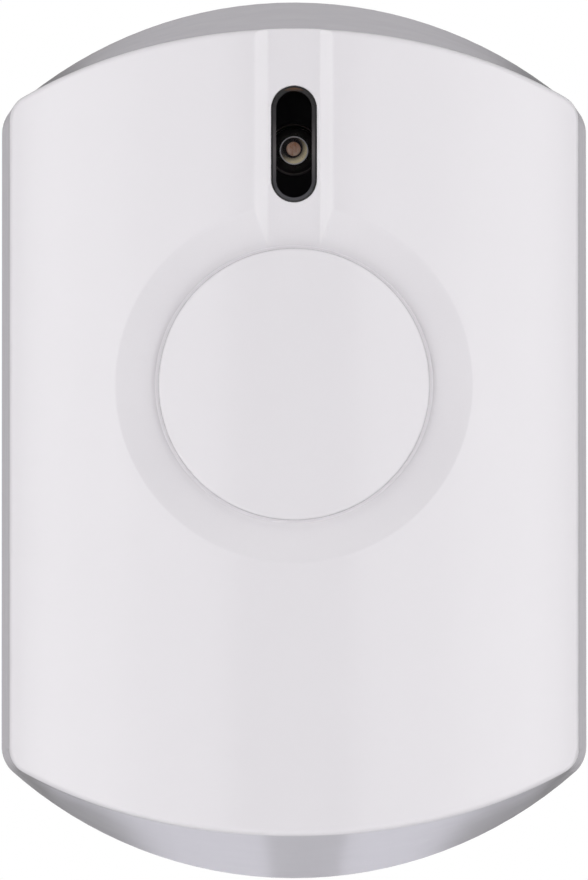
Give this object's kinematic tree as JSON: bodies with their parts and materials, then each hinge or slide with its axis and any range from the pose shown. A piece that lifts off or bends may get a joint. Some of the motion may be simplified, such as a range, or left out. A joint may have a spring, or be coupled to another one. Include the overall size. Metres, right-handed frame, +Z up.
{
  "type": "indoor alarm siren",
  "caption": "White wall siren with a bowed face, arched ends, a round press button in a dished ring and a smoked signal window; the cover swings off its back plate",
  "frame": {"origin": "centre of the back plate's face that lies on the wall", "axes": "+X to the right as seen from the front, +Y into the wall, +Z up; the face looks towards -Y"},
  "size_m": [0.06, 0.032, 0.0898],
  "materials": {
    "cover_white": "semi-gloss white moulded plastic",
    "button_white": "semi-gloss white moulded plastic",
    "window_smoked": "glossy smoked clear plastic",
    "plastic_black": "matt black moulded plastic",
    "base_white": "matt white moulded plastic",
    "spring_steel": "drawn steel wire",
    "screw_steel": "zinc plated steel",
    "board_green": "glass fibre board under green solder mask",
    "capsule_black": "black moulded housing",
    "piezo_brass": "brass disc with a pale ceramic layer",
    "lamp_clear": "clear epoxy lamp with tinned leads",
    "spacer_black": "black nylon",
    "switch_black": "black moulded switch body",
    "stem_plastic": "dark moulded stem",
    "shield_metal": "tinned steel can",
    "antenna_wire": "enamelled copper wire",
    "chip_black": "dark epoxy package",
    "header_black": "black strip with gold pins",
    "capacitor_sleeve": "dark sleeve on an aluminium can",
    "inductor_ferrite": "grey ferrite",
    "resistor_ceramic": "ceramic chips with tinned ends",
    "cell_wrap": "printed film wrap, left plain, on a steel can",
    "cradle_grey": "grey moulded plastic",
    "contact_nickel": "nickel plated spring steel"
  },
  "bodies": {
    "base": {"back_plate": "base_white", "cover_latch": "base_white", "main_board": "board_green", "board_screws": "screw_steel", "siren_capsule": "capsule_black", "capsule_lid": "capsule_black", "piezo_disc": "piezo_brass", "led_lamp": "lamp_clear", "led_spacer": "spacer_black", "button_switch": "switch_black", "tamper_switch": "switch_black", "radio_board": "board_green", "radio_shield": "shield_metal", "antenna_coil": "antenna_wire", "antenna_foot": "plastic_black", "processor_chip": "chip_black", "crystal": "shield_metal", "program_header": "header_black", "boost_capacitor": "capacitor_sleeve", "boost_inductor": "inductor_ferrite", "driver_transistor": "chip_black", "board_small_parts": "resistor_ceramic", "battery_cell": "cell_wrap", "battery_cradle": "cradle_grey", "positive_contact": "contact_nickel", "negative_contact": "contact_nickel"},
    "cover": {"front_cover": "cover_white", "window_lens": "window_smoked", "light_shield": "plastic_black", "button_retainer": "base_white", "retainer_screws": "screw_steel", "button_spring": "spring_steel"},
    "button": {"siren_button": "button_white"},
    "button_stem": {"button_switch_stem": "stem_plastic"},
    "tamper_stem": {"tamper_switch_stem": "stem_plastic"}
  },
  "joints": [
    {"name": "cover_swing", "type": "hinge", "parent": "base", "child": "cover", "pos_m": [0, 0, 0.045], "axis": [-1, 0, 0], "range_deg": [0, 30], "deforming": ["cover_latch"]},
    {"name": "button_press", "type": "slide", "parent": "cover", "child": "button", "axis": [0, 1, 0], "range_m": [0, 0.001], "stiffness_N_per_m": 300, "springref_m": -0.003, "deforming": ["button_spring"]},
    {"name": "button_stem_slide", "type": "slide", "parent": "base", "child": "button_stem", "axis": [0, 1, 0], "range_m": [0, 0.001]},
    {"name": "tamper_stem_slide", "type": "slide", "parent": "base", "child": "tamper_stem", "axis": [0, -1, 0], "range_m": [0, 0.001]}
  ],
  "couplings": [
    {"joint": "button_stem_slide", "follows": "button_press", "ratio": 1},
    {"joint": "tamper_stem_slide", "follows": "cover_swing", "m_per_rad": 0.0019}
  ]
}
